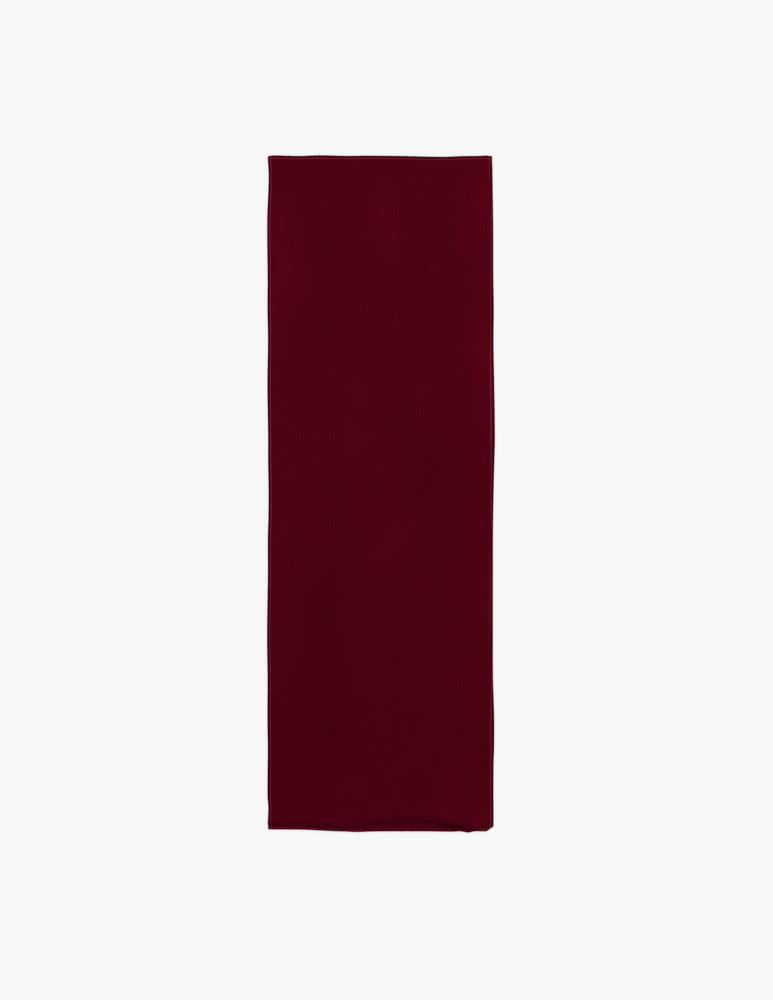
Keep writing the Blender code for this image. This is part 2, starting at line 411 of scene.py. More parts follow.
def add_piece(name, data, painted_shading):
    """Add a mesh to the scarf, and keep the painted light and shade of each of its points."""
    data.attributes.new("painted_shading", "FLOAT", "POINT").data.foreach_set("value", painted_shading)
    piece = bpy.data.objects.new(name, data)
    bpy.context.collection.objects.link(piece)
    return piece


def make_cloth(name, outer, outer_shares, inner, inner_shares, courses, painted_shading):
    """One closed thin wall of cloth from the rows of its two faces.

    The first and last rows of its inner face have as many columns as its outer one, so that each
    end closes in a straight wall, and the zip between many and few columns lies out of sight.
    Each point also keeps its rib and its course, which the stitches follow, and its painted shading.
    """
    rims = [
        np.column_stack([np.interp(outer_shares, inner_shares, row[:, axis]) for axis in range(3)])
        for row in (inner[0], inner[-1])
    ]
    rows, wide, narrow = len(outer), len(outer_shares), len(inner_shares)
    rim_first = rows * wide
    inner_first = rim_first + 2 * wide
    outer_grid = np.arange(rim_first).reshape(rows, wide)
    rim_grid = rim_first + np.arange(2 * wide).reshape(2, wide)
    inner_grid = inner_first + np.arange((rows - 2) * narrow).reshape(rows - 2, narrow)
    faces = grid_faces(0, rows, wide) + grid_faces(inner_first, rows - 2, narrow)
    for side in (0, -1):
        lower = np.concatenate((rim_grid[:1, side], inner_grid[:, side], rim_grid[1:, side]))
        sides = (outer_grid[:-1, side], outer_grid[1:, side], lower[1:], lower[:-1])
        faces += np.stack(sides, axis=1).tolist()
    rounded = len(faces)
    for end in (0, -1):
        outer_end, rim, inner_end = outer_grid[end], rim_grid[end], inner_grid[end]
        faces += np.stack((outer_end[:-1], outer_end[1:], rim[1:], rim[:-1]), axis=1).tolist()
        faces += zip_faces(rim.tolist(), outer_shares, inner_end.tolist(), inner_shares)
    data = bpy.data.meshes.new(name)
    data.from_pydata(np.concatenate(outer + rims + inner[1:-1]).tolist(), [], faces)
    across = np.concatenate([np.tile(outer_shares, rows + 2), np.tile(inner_shares, rows - 2)])
    along = np.concatenate([
        np.repeat(courses, wide), np.repeat(courses[[0, -1]], wide), np.repeat(courses[1:-1], narrow)
    ])
    place = data.uv_layers.new(name="knit_place")
    corners = numbers(data.loops, "vertex_index", 1, int)
    place.data.foreach_set("uv", np.column_stack((across * RIB_COUNT, along))[corners].ravel())
    outwards = bmesh.new()
    outwards.from_mesh(data)
    bmesh.ops.recalc_face_normals(outwards, faces=outwards.faces)
    outwards.to_mesh(data)
    outwards.free()
    data.polygons.foreach_set("use_smooth", np.arange(len(faces)) < rounded)
    hidden = np.zeros(2 * wide + (rows - 2) * narrow)
    return add_piece(name, data, np.concatenate([painted_shading.ravel(), hidden]))


def lay_flat(data, courses, columns, inner_columns, parted, course_steps, inner_places, inner_steps):
    """Lay the faces of a half out on one flat square, none of them on another.

    From the row where it is parted on, the ribbed face lies beside the first length of itself.
    The inner face and the two sides lie beside that, and the ends past its first and last rows.
    """
    rows, wide, narrow = len(courses), columns - 1, inner_columns - 1
    second = np.arange(rows - 1) >= parted
    end = 2 * wide + narrow
    counts = ((rows - 1) * wide, (rows - 3) * narrow, rows - 1, rows - 1, end, end)
    lengths = (
        np.repeat(second, wide), np.repeat(second[1:-1], narrow), second, second,
        np.repeat(second[[0, -1]], end),
    )
    sizes = numbers(data.polygons, "loop_total", 1, int)
    part = np.repeat(np.repeat(np.arange(len(counts)), counts), sizes)
    length = np.repeat(np.concatenate(lengths).astype(int), sizes)
    layers = (rows * columns, 2 * columns, (rows - 2) * inner_columns)
    depth = np.repeat(np.arange(3), layers)[numbers(data.loops, "vertex_index", 1, int)]
    rib, course = numbers(data.uv_layers["knit_place"].data, "uv", 2, float).reshape(-1, 2).T

    begun = np.ceil(courses[[0, min(parted, rows - 1)]])[length]
    up = FLAT_START + course_steps * np.abs(course - begun)
    before, after = FLAT_START - FLAT_NARROW * (1 + depth), up + FLAT_NARROW * (1 + depth)
    ribbed = np.array(FLAT_LENGTHS)[length] + RIB_STEPS * rib
    inner = np.array(inner_places)[length] + inner_steps * rib
    left = np.array(FLAT_SIDES)[length] + FLAT_NARROW * np.minimum(depth, 1)
    flat_across = np.choose(part, (ribbed, inner, left, left + FLAT_SIDES_APART, ribbed, ribbed))
    flat_along = np.choose(part, (up, up, up, up, before, after))
    layout = data.uv_layers.new(name="OFBake", do_init=False)
    layout.data.foreach_set("uv", np.column_stack((flat_across, flat_along)).ravel() / FLAT_SQUARE)


def sum_up(tree, operation, *values):
    """The outcome of a math node on numbers or on other nodes' outcomes."""
    node = tree.nodes.new("ShaderNodeMath")
    node.operation = operation
    for socket, value in zip(node.inputs, values):
        if isinstance(value, bpy.types.NodeSocket):
            tree.links.new(value, socket)
        else:
            socket.default_value = value
    return node.outputs[0]


def kept(tree):
    """What a mesh keeps at each place: how far across and along its knitting, and its painted shading."""
    place = tree.nodes.new("ShaderNodeUVMap")
    place.uv_map = "knit_place"
    split = tree.nodes.new("ShaderNodeSeparateXYZ")
    tree.links.new(place.outputs[0], split.inputs[0])
    painted_shading = tree.nodes.new("ShaderNodeAttribute")
    painted_shading.attribute_name = "painted_shading"
    return split.outputs[0], split.outputs[1], painted_shading.outputs["Fac"]


def speckle(tree, grains_a_metre, detail):
    """Uneven spots of a size, from 0 to 1."""
    place = tree.nodes.new("ShaderNodeTexCoord")
    spots = tree.nodes.new("ShaderNodeTexNoise")
    spots.inputs["Scale"].default_value = grains_a_metre
    spots.inputs["Detail"].default_value = detail
    spots.inputs["Roughness"].default_value = SPECKLE_ROUGHNESS
    tree.links.new(place.outputs["Object"], spots.inputs["Vector"])
    return spots.outputs[0]


def wool_shader(material):
    """Dull wool that doesn't shine, with a faint bloom of its own colour from raised fibres."""
    material.use_nodes = True
    shader = material.node_tree.nodes["Principled BSDF"]
    shader.inputs["Roughness"].default_value = WOOL_ROUGHNESS
    shader.inputs["Specular IOR Level"].default_value = WOOL_SHINE
    shader.inputs["Sheen Weight"].default_value = WOOL_SHEEN
    shader.inputs["Sheen Roughness"].default_value = WOOL_SHEEN_ROUGHNESS
    shader.inputs["Sheen Tint"].default_value = WOOL_SHEEN_TINT
    return shader


def dye(tree, shader, lightness, deep):
    """Colour the wool: deep at a lightness of 0, light at 1, and at 2 the pale of a painted highlight."""
    mix = tree.nodes.new("ShaderNodeMix")
    mix.data_type = "RGBA"
    mix.inputs["A"].default_value = deep
    mix.inputs["B"].default_value = WOOL_LIGHT
    highlighted = tree.nodes.new("ShaderNodeMix")
    highlighted.data_type = "RGBA"
    highlighted.inputs["B"].default_value = WOOL_PAINTED_HIGHLIGHT
    tree.links.new(lightness, mix.inputs["Factor"])
    tree.links.new(mix.outputs["Result"], highlighted.inputs["A"])
    tree.links.new(sum_up(tree, "SUBTRACT", lightness, 1.0), highlighted.inputs["Factor"])
    tree.links.new(highlighted.outputs["Result"], shader.inputs["Base Color"])


def raise_surface(tree, shader, height, depth):
    """Give the wool a relief of a depth, in metres, from a height of 0 to 1."""
    bump = tree.nodes.new("ShaderNodeBump")
    bump.inputs["Strength"].default_value = 1.0
    bump.inputs["Distance"].default_value = depth
    tree.links.new(height, bump.inputs["Height"])
    tree.links.new(bump.outputs["Normal"], shader.inputs["Normal"])


def knit_material(name):
    """Knitted wool: rows of V stitches on the two wales of every rib."""
    material = bpy.data.materials.new(name)
    shader = wool_shader(material)
    tree = material.node_tree
    rib, course, painted_shading = kept(tree)

    in_rib = sum_up(tree, "SUBTRACT", sum_up(tree, "FRACT", rib), 0.5)
    from_middle = sum_up(tree, "ABSOLUTE", in_rib)
    from_wale = sum_up(tree, "ABSOLUTE", sum_up(tree, "SUBTRACT", from_middle, WALE_MIDDLE))
    in_wale = sum_up(tree, "MINIMUM", sum_up(tree, "DIVIDE", from_wale, WALE_MIDDLE), 1.0)

    fibres = speckle(tree, FIBRES_A_METRE, detail=2.0)
    slubs = speckle(tree, SLUBS_A_METRE, detail=3.0)
    patches = speckle(tree, PATCHES_A_METRE, detail=2.0)

    phase = sum_up(tree, "MULTIPLY_ADD", in_wale, -STITCH_LEAN, course)
    phase = sum_up(tree, "MULTIPLY_ADD", slubs, STITCH_UNEVENNESS, phase)
    in_stitch = sum_up(tree, "SUBTRACT", sum_up(tree, "FRACT", phase), 0.5)
    to_end = sum_up(tree, "MULTIPLY", in_stitch, 2.0)
    leg_along = sum_up(tree, "SUBTRACT", 1.0, sum_up(tree, "MULTIPLY", to_end, to_end))
    leg_across = sum_up(tree, "SINE", sum_up(tree, "MULTIPLY", in_wale, math.pi))
    stitch = sum_up(tree, "MULTIPLY", leg_along, LEG_ROUND_ALONG)
    stitch = sum_up(tree, "MULTIPLY_ADD", leg_across, LEG_ROUND_ACROSS, stitch)
    twist = sum_up(tree, "MULTIPLY", in_wale, STRAND_TWIST)
    twist = sum_up(tree, "MULTIPLY_ADD", in_stitch, STRANDS, twist)
    strands = sum_up(tree, "ABSOLUTE", sum_up(tree, "SINE", sum_up(tree, "MULTIPLY", twist, math.pi)))
    relief = sum_up(tree, "MULTIPLY_ADD", strands, STRAND_RELIEF, stitch)
    relief = sum_up(tree, "MULTIPLY_ADD", fibres, FIBRE_RELIEF, relief)
    raise_surface(tree, shader, relief, STITCH_DEPTH)

    # Painted light in the furrows, painted shade between stitch legs, and the kept painted shading.
    furrow = sum_up(tree, "GREATER_THAN", from_middle, FURROW_FROM)
    leg_gap_shade = sum_up(tree, "POWER", sum_up(tree, "SUBTRACT", 1.0, stitch), GAP_SHARPNESS)
    lightness = PLAIN_LIGHTNESS
    for value, lightening in (
        (painted_shading, PAINTED_SHADING_STRENGTH), (furrow, FURROW_PAINTED_LIGHT), (leg_gap_shade, GAP_PAINTED_SHADE),
        (strands, STRAND_LIGHTNESS), (fibres, FIBRE_LIGHTNESS), (slubs, SLUB_LIGHTNESS),
        (patches, PATCH_LIGHTNESS),
    ):
        lightness = sum_up(tree, "MULTIPLY_ADD", value, lightening, lightness)
    dye(tree, shader, lightness, WOOL_DEEP)
    return material


def make_under_knit():
    """The lower half, ribbed on top and flat underneath."""
    shares, heights = ribbed_face()
    plain = plain_face(PLAIN_COLUMNS)
    end = FOLD_START - FOLD_FOOT
    even = np.linspace(-REACH, end, round((end + REACH) / UNDER_ROW_SPACING) + 1)
    lip = [-REACH + step for step in LIP_ROWS]
    rows = lip + [along for along in even if along > lip[-1] + MM]
    outer, inner, painted_shading = [], [], []
    for along in rows:
        tops = UNDER_THICKNESS - UNDER_RIB_HEIGHT * (1 - heights)
        tops = tops - np.maximum(edge_drop(side_distance(shares)), edge_drop(REACH + along))
        outer.append(under_row(shares, tops, along))
        inner.append(under_row(plain, 0.0, along))
        patches = patch_shading(UNDER_PATCHES, outer[-1][:, 0], along)
        side = border_shading(UNDER_SIDE_LINES, side_distance(shares))
        beside_upper = border_shading(BESIDE_UPPER_LINES, showing(along) - side_distance(shares))
        end_border = border_shading(UNDER_END_LINES, REACH + along)
        painted_shading.append(UNDER_PAINTED_SHADE + patches + side + beside_upper + end_border)
    courses = (np.array(rows) + REACH) / COURSE
    made = make_cloth("under_knit", outer, shares, inner, plain, courses, np.array(painted_shading))
    lay_flat(
        made.data, courses, len(shares), len(plain), len(rows),
        UNDER_COURSE_STEPS, UNDER_INNER_PLACES, RIB_STEPS,
    )
    return made


under_knit = make_under_knit()
knit_wool = knit_material("dark_red_rib_knit")
under_knit.data.materials.append(knit_wool)
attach(under_knit, "root")
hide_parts("under_stretch")

# --------------------------------------------------------------------
# The upper half of the panel and the fold: the same knitting, turned over the lower half.
# It lies loose, so it has soft swells and troughs, its free end is pulled back in a shallow
# arc, and one corner of that end stands a few millimetres up.

THICKNESS = 2.4 * MM
RIB_HEIGHT = 0.9 * MM
INNER_HOLLOW = 0.4 * MM
FOLD_RISE_LENGTH = 34 * MM
RIBS_FADE_FROM = math.radians(35)
RIBS_FADE_TO = math.radians(125)
FOLD_STEPS = 16
FOOT_ROWS = 2

# The free end curls down over its last courses, and droops where it stands off the lower half.
END_CURL = 0.6 * MM
END_CURL_LENGTH = 8 * MM
END_DROOP = 1.6 * MM
END_DROOP_LENGTH = 12 * MM

# Rows across it: a lip like the lower half's, then close ones, wide ones, and close ones again
# up to the fold.
UPPER_END_SPACING = 3 * MM
UPPER_END_FROM = 7.5 * MM
UPPER_END_LENGTH = 64 * MM
UPPER_ROW_SPACING = 10 * MM
UPPER_FOLD_SPACING = 4 * MM
FOLD_ROWS = (2.8 * MM, 1.9 * MM, 0.9 * MM)
INNER_COLUMNS = 2 * RIB_COUNT

# Its flat layout: two lengths, and an inner face that takes a third of a step to a rib.
UPPER_COURSE_STEPS = 2
UPPER_INNER_PLACES = (964, 988)
UPPER_INNER_STEPS = 1 / 3

# The ribs wander a little from side to side, and none is quite as high as the next.
MEANDER = 0.22 * MM
MEANDER_LENGTH = 170 * MM
MEANDER_BREADTH = 272 * MM
QUICK_MEANDER = 0.11 * MM
QUICK_MEANDER_LENGTH = 69.7 * MM
MEANDER_FROM_SIDE = 12 * MM
RIB_UNEVENNESS = 0.06
RIB_SEED = 7

# Where the upper half doesn't lie tight on the lower one, in mm.
Swell = namedtuple("Swell", "across along half_width half_length height")
SWELLS = (
    Swell(across=96, along=-450, half_width=31, half_length=95, height=6.2),
    Swell(across=35, along=-450, half_width=85, half_length=44, height=1.8),
    Swell(across=95, along=-215, half_width=50, half_length=150, height=0.9),
    Swell(across=-35, along=-270, half_width=48, half_length=120, height=1.0),
    Swell(across=12, along=-55, half_width=55, half_length=90, height=1.2),
    Swell(across=-120, along=-40, half_width=28, half_length=140, height=0.8),
    Swell(across=20, along=130, half_width=60, half_length=110, height=1.1),
    Swell(across=124, along=215, half_width=24, half_length=230, height=1.3),
    Swell(across=-118, along=300, half_width=26, half_length=150, height=1.2),
    Swell(across=-8, along=385, half_width=45, half_length=60, height=0.9),
    Swell(across=150, along=40, half_width=34, half_length=80, height=1.0),
    Swell(across=150, along=-185, half_width=28, half_length=70, height=0.8),
    Swell(across=150, along=345, half_width=30, half_length=60, height=0.8),
    Swell(across=-151, along=195, half_width=30, half_length=85, height=1.1),
    Swell(across=-151, along=-130, half_width=32, half_length=75, height=0.9),
    Swell(across=-151, along=-330, half_width=26, half_length=60, height=0.7),
)

# Soft ridges, and troughs with a height below 0, from one place to another, in mm.  Each rises
# from both its tips over a share of its length.
CREASE_TIP_SHARE = 1 / 3
Crease = namedtuple("Crease", "across along to_across to_along half_width height")
CREASES = (
    Crease(across=-78, along=-130, to_across=-76, to_along=-220, half_width=17, height=-0.5),
    Crease(across=-76, along=-220, to_across=-48, to_along=-330, half_width=19, height=-0.6),
    Crease(across=-102, along=-210, to_across=-84, to_along=-350, half_width=16, height=0.5),
    Crease(across=92, along=-445, to_across=78, to_along=-345, half_width=16, height=0.6),
    Crease(across=30, along=-440, to_across=52, to_along=-372, half_width=15, height=0.4),
    Crease(across=14, along=-110, to_across=20, to_along=-20, half_width=16, height=0.5),
    Crease(across=78, along=-160, to_across=60, to_along=40, half_width=18, height=-0.4),
    Crease(across=-30, along=55, to_across=-34, to_along=160, half_width=15, height=0.5),
    Crease(across=-60, along=230, to_across=-88, to_along=330, half_width=18, height=0.4),
    Crease(across=70, along=250, to_across=84, to_along=380, half_width=17, height=0.4),
)

# Lines of painted highlight and painted shade along its borders.
LEFT_LINES = (
    Line(inside=1.2, half_width=2.2, lightness=-0.66),
    Line(inside=3.6, half_width=1.1, lightness=1.35),
)
# At the right they differ where it lies flush with the lower half and where it is stepped in.
FLUSH_RIGHT_LINES = (
    Line(inside=1.0, half_width=2.2, lightness=-0.30),
    Line(inside=3.6, half_width=1.2, lightness=1.15),
)
STEPPED_RIGHT_LINES = (
    Line(inside=0.4, half_width=1.8, lightness=-0.18),
)
FLUSH_WITHIN = 3 * MM
# At the free end, painted shade where it curls and droops away from the light, and a painted highlight behind
# that.
END_LINES = (
    Line(inside=2.0, half_width=5.5, lightness=-0.13),
    Line(inside=9.0, half_width=3.5, lightness=0.12),
)
# Round the fold, painted highlights on its crest and just inside it, with painted shade between.
FOLD_LINES = (
    Line(inside=0.0, half_width=0.9, lightness=0.90),
    Line(inside=1.4, half_width=2.9, lightness=-0.70),
    Line(inside=4.35, half_width=1.15, lightness=1.35),
)

# On the upper half, painted light towards the fold and painted shade towards the free end, for the fall of
# the light, and patches of painted light and shade for the sheen of the wool.
UPPER_PATCHES = (
    PaintedPatch(across=0, along=450, half_width=900, half_length=90, lightness=0.08),
    PaintedPatch(across=0, along=300, half_width=900, half_length=650, lightness=0.03),
    PaintedPatch(across=0, along=-450, half_width=900, half_length=450, lightness=-0.05),
    PaintedPatch(across=-150, along=305, half_width=92, half_length=125, lightness=0.25),
    PaintedPatch(across=-150, along=295, half_width=9, half_length=95, lightness=-0.30),
    PaintedPatch(across=-150, along=100, half_width=40, half_length=420, lightness=0.10),
    PaintedPatch(across=3, along=355, half_width=46, half_length=80, lightness=0.20),
    PaintedPatch(across=138, along=385, half_width=58, half_length=95, lightness=0.25),
    PaintedPatch(across=140, along=205, half_width=46, half_length=175, lightness=0.26),
    PaintedPatch(across=145, along=-40, half_width=36, half_length=300, lightness=0.04),
    PaintedPatch(across=110, along=-260, half_width=70, half_length=220, lightness=0.03),
    PaintedPatch(across=-28, along=141, half_width=30, half_length=36, lightness=0.10),
    PaintedPatch(across=-28, along=77, half_width=30, half_length=38, lightness=0.14),
    PaintedPatch(across=-44, along=100, half_width=42, half_length=90, lightness=0.05),
    PaintedPatch(across=14, along=-67, half_width=34, half_length=50, lightness=0.17),
    PaintedPatch(across=-79, along=-165, half_width=38, half_length=98, lightness=-0.15),
    PaintedPatch(across=-82, along=-265, half_width=56, half_length=110, lightness=-0.13),
    PaintedPatch(across=-45, along=-322, half_width=42, half_length=80, lightness=-0.10),
    PaintedPatch(across=-112, along=-370, half_width=80, half_length=150, lightness=-0.07),
    PaintedPatch(across=66, along=10, half_width=60, half_length=110, lightness=-0.06),
    PaintedPatch(across=45, along=-402, half_width=40, half_length=40, lightness=-0.04),
    PaintedPatch(across=132, along=-430, half_width=45, half_length=60, lightness=0.09),
    PaintedPatch(across=128, along=-444, half_width=20, half_length=30, lightness=0.22),
    PaintedPatch(across=88, along=-441, half_width=24, half_length=10, lightness=0.16),
)

# A row of the upper half: how far along it is, how far round the fold, and how far past it.
Station = namedtuple("Station", "along turn foot")


def crease_height(crease, across, along):
    """How far a crease raises places: full along its line, fading at its sides and its tips."""
    run = np.array((crease.to_across - crease.across, crease.to_along - crease.along), float)
    east, north = across / MM - crease.across, along / MM - crease.along
    length = np.hypot(*run)
    ahead = (east * run[0] + north * run[1]) / length
    aside = (east * run[1] - north * run[0]) / length
    gone = ahead / length
    tips = ease(gone / CREASE_TIP_SHARE) * ease((1 - gone) / CREASE_TIP_SHARE)
    return crease.height * hump(aside / crease.half_width) * tips


def lift(across, along):
    """How high the upper half stands off its place on the lower one."""
    swollen = sum(swell.height * patch(swell, across, along) for swell in SWELLS)
    creased = sum(crease_height(crease, across, along) for crease in CREASES)
    drooped = END_DROOP * (1 - ease((REACH + along) / END_DROOP_LENGTH))
    return np.maximum((swollen + creased) * MM - drooped, 0.0)


def meander(shares, across, along):
    """How far the ribs wander sideways, least at the two sides."""
    slow = MEANDER * np.sin(2 * math.pi * (along / MEANDER_LENGTH + across / MEANDER_BREADTH))
    turns = along / QUICK_MEANDER_LENGTH - across / MEANDER_LENGTH
    quick = QUICK_MEANDER * np.sin(2 * math.pi * turns)
    return (slow + quick) * ease(side_distance(shares) / MEANDER_FROM_SIDE)


def upper_row(shares, heights, station):
    """Places across the upper half at one of its rows, at heights above its inner face."""
    along = station.along
    left = read(SIDES, along / MM, "left") * MM
    right = read(SIDES, along / MM, "right") * MM
    across = left + shares * (right - left)
    across = across + meander(shares, across, along)
    placed = shifted(across, along, "upper")
    radius = FOLD_RADIUS - THICKNESS + heights
    if station.turn > 0:
        placed = placed + radius * math.sin(station.turn) - station.foot
        return np.column_stack((across, placed, FOLD_RADIUS + radius * math.cos(station.turn)))
    resting = UNDER_THICKNESS + GAP + lift(across, along)
    looped = 2 * FOLD_RADIUS - THICKNESS
    rise = ease(1 - (FOLD_START - along) / FOLD_RISE_LENGTH)
    return np.column_stack((across, placed, resting + (looped - resting) * rise + heights))


def spaced(start, end, spacing):
    """Even places from start up to, but without, end."""
    return np.linspace(start, end, round((end - start) / spacing), endpoint=False).tolist()


def upper_stations():
    """The rows of the upper half, from its free end round the fold to its foot."""
    end_zone = -REACH + UPPER_END_LENGTH
    fold_zone = FOLD_START - FOLD_RISE_LENGTH - UPPER_FOLD_SPACING
    flat = [-REACH + step for step in LIP_ROWS]
    flat += spaced(-REACH + UPPER_END_FROM, end_zone, UPPER_END_SPACING)
    flat += spaced(end_zone, fold_zone, UPPER_ROW_SPACING)
    flat += spaced(fold_zone, FOLD_START, UPPER_FOLD_SPACING)
    flat += [FOLD_START - step for step in FOLD_ROWS]
    bend = [Station(FOLD_START, math.pi * step / FOLD_STEPS, 0.0) for step in range(1, FOLD_STEPS + 1)]
    foot = [Station(FOLD_START, math.pi, FOLD_FOOT * row / FOOT_ROWS) for row in range(1, FOOT_ROWS + 1)]
    return [Station(along, 0.0, 0.0) for along in [*flat, FOLD_START]] + bend + foot


def walked(rows):
    """How far along the cloth each row lies, measured down its middle."""
    middle = np.array([row[len(row) // 2] for row in rows])
    steps = np.linalg.norm(np.diff(middle, axis=0), axis=1)
    return np.concatenate(([0.0], np.cumsum(steps)))


def make_upper_knit():
    """The upper half, ribbed on its outer face and hollow behind each rib."""
    shares, heights = ribbed_face()
    behind = plain_face(INNER_COLUMNS)
    hollow = np.where(np.arange(len(behind)) % 2 == 1, INNER_HOLLOW, 0.0)
    uneven = 1 + RIB_UNEVENNESS * np.random.default_rng(RIB_SEED).uniform(-1, 1, RIB_COUNT + 1)
    own_rib = uneven[np.floor(shares * RIB_COUNT).astype(int)]
    outer, inner, painted_shading = [], [], []
    for station in upper_stations():
        faded = ease((station.turn - RIBS_FADE_FROM) / (RIBS_FADE_TO - RIBS_FADE_FROM))
        depth = RIB_HEIGHT * (1 - faded)
        from_end = REACH + station.along if station.turn == 0 else REACH
        tops = THICKNESS - depth * (1 - heights * own_rib)
        tops = tops - np.maximum(edge_drop(side_distance(shares)) * (1 - faded), edge_drop(from_end))
        tops = tops - END_CURL * (1 - ease(from_end / END_CURL_LENGTH))
        outer.append(upper_row(shares, tops, station))
        thinned = edge_drop(side_distance(behind))
        inner.append(upper_row(behind, hollow + (thinned - hollow) * faded, station))
        patches = patch_shading(UPPER_PATCHES, outer[-1][:, 0], station.along)
        left_side = border_shading(LEFT_LINES, shares * PANEL_WIDTH)
        flush = ease(1 - showing(station.along) / FLUSH_WITHIN)
        flush_side = border_shading(FLUSH_RIGHT_LINES, (1 - shares) * PANEL_WIDTH)
        stepped_side = border_shading(STEPPED_RIGHT_LINES, (1 - shares) * PANEL_WIDTH)
        right_side = flush * flush_side + (1 - flush) * stepped_side
        end_border = border_shading(END_LINES, from_end)
        from_fold = FOLD_START - station.along + FOLD_RADIUS * (1 - math.sin(station.turn))
        fold_border = border_shading(FOLD_LINES, from_fold) * (1 - faded)
        painted_shading.append(patches + left_side + right_side + end_border + fold_border)
    courses = (PANEL_LENGTH / 2 + REACH - walked(outer)) / COURSE
    made = make_cloth("upper_knit", outer, shares, inner, behind, courses, np.array(painted_shading))
    halfway = int(np.searchsorted(courses[0] - courses, (courses[0] - courses[-1]) / 2))
    lay_flat(
        made.data, courses, len(shares), len(behind), halfway,
        UPPER_COURSE_STEPS, UPPER_INNER_PLACES, UPPER_INNER_STEPS,
    )
    return made


upper_knit = make_upper_knit()
upper_knit.data.materials.append(knit_wool)
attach(upper_knit, "root")
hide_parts("upper_stretch")

# --------------------------------------------------------------------
# The chains along the two free ends: the last row of stitches, cast off one over the other,
# and the cast-on row.  Each is a close row of small loops of the same yarn, one to a wale,
# which rises and falls with the ribs that it closes.

YARN_RADIUS = 0.40 * MM
WALES_A_RIB = 4
CHAIN_WIDTH = 1.7 * MM
LOOP_OVERLAP = 1.36
LOOP_TAPER = 0.20
LOOP_TILT = 0.30 * MM
LOOP_POINTS = 12
YARN_SIDES = 6
END_CHAIN_MARGIN = 0.003
END_CHAIN_POINTS = 12 * RIB_COUNT
END_CHAIN_INSET = 1.05 * MM
END_CHAIN_WAVE = 0.30 * MM
CAST_ON_HEIGHT = 1.55 * MM
CAST_OFF_HEIGHT = 1.10 * MM
YARN_TWIST = 5.0
YARN_DEPTH = 0.10 * MM
YARN_FIBRE_RELIEF = 0.4
# The chains' yarn is mixed from a deeper colour than the cloth's: painted shade along the edges.
YARN_SHADED_DEEP = (0.012, 0.0001, 0.0009, 1.0)
# Painted light on the cast-off chain thins the shadow under the raised end; the cast-on chain has painted
# shade.
CAST_OFF_PAINTED_LIGHT = 0.45
CAST_ON_PAINTED_SHADE = -0.28
# A painted highlight along the outer side of the loops, and how wide it is.
RIM_HIGHLIGHT_WIDTH = 1.2 * MM
OUTER_RIM_HIGHLIGHT = 1.05
CAST_ON_RIM_HIGHLIGHT = 0.40


def unit(vectors):
    """The same directions, one long."""
    return vectors / np.linalg.norm(vectors, axis=-1, keepdims=True)


def make_chain(name, path, outwards, pitch, width, painted_shading, rim_highlight):
    """A row of loops of yarn along a path, the head of each lying on the tail of the next.

    Its painted shading and the painted highlight on its outer side are given at each point of the path.
    """
    path = np.array(path)
    steps = np.concatenate(([0.0], np.cumsum(np.linalg.norm(np.diff(path, axis=0), axis=1))))
    count = round(steps[-1] / pitch)
    places = (np.arange(count) + 0.5) / count * steps[-1]
    centre = np.column_stack([np.interp(places, steps, path[:, axis]) for axis in range(3)])
    loop_painted_shading, loop_rim_highlight = np.interp(places, steps, painted_shading), np.interp(places, steps, rim_highlight)
    ahead = unit(np.gradient(centre, axis=0))
    outwards = np.array(outwards, float)
    beside = unit(outwards - ahead * (ahead @ outwards)[:, None])
    above = np.cross(beside, ahead)

    turn = np.linspace(0, 2 * math.pi, LOOP_POINTS, endpoint=False)
    half_length = LOOP_OVERLAP * steps[-1] / count / 2
    forward = half_length * np.cos(turn)
    outward = width / 2 * np.sin(turn) * (1 - LOOP_TAPER + LOOP_TAPER * np.cos(turn))
    upward = LOOP_TILT * np.cos(turn)
    lean = unit(np.column_stack((np.cos(turn) * width, np.sin(turn) * 2 * half_length)))
    around = np.linspace(0, 2 * math.pi, YARN_SIDES, endpoint=False)
    ring_out, ring_up = YARN_RADIUS * np.cos(around), YARN_RADIUS * np.sin(around)

    along_part = forward[:, None] + lean[:, :1] * ring_out
    beside_part = outward[:, None] + lean[:, 1:] * ring_out
    above_part = upward[:, None] + ring_up
    points = (
        centre[:, None, None, :]
        + along_part[None, :, :, None] * ahead[:, None, None, :]
        + beside_part[None, :, :, None] * beside[:, None, None, :]
        + above_part[None, :, :, None] * above[:, None, None, :]
    )
    loop, point, side = np.meshgrid(
        np.arange(count), np.arange(LOOP_POINTS), np.arange(YARN_SIDES), indexing="ij"
    )
    corners, places = [], []
    for point_step, side_step in ((0, 0), (1, 0), (1, 1), (0, 1)):
        next_point = (point + point_step) % LOOP_POINTS
        next_side = (side + side_step) % YARN_SIDES
        corners.append(((loop * LOOP_POINTS + next_point) * YARN_SIDES + next_side).ravel())
        round_yarn = (side + side_step).ravel() / YARN_SIDES
        along_yarn = (point + point_step).ravel() / LOOP_POINTS
        places.append(np.column_stack((round_yarn, along_yarn)))
    data = bpy.data.meshes.new(name)
    data.from_pydata(points.reshape(-1, 3).tolist(), [], np.stack(corners, axis=1).tolist())
    place = data.uv_layers.new(name="knit_place")
    place.data.foreach_set("uv", np.stack(places, axis=1).ravel())
    outer_side = ease(1 - (beside_part.max() - beside_part) / RIM_HIGHLIGHT_WIDTH)
    rimmed_shading = loop_painted_shading[:, None, None] + loop_rim_highlight[:, None, None] * outer_side[None]
    data.shade_smooth()
    return add_piece(name, data, rimmed_shading.ravel())


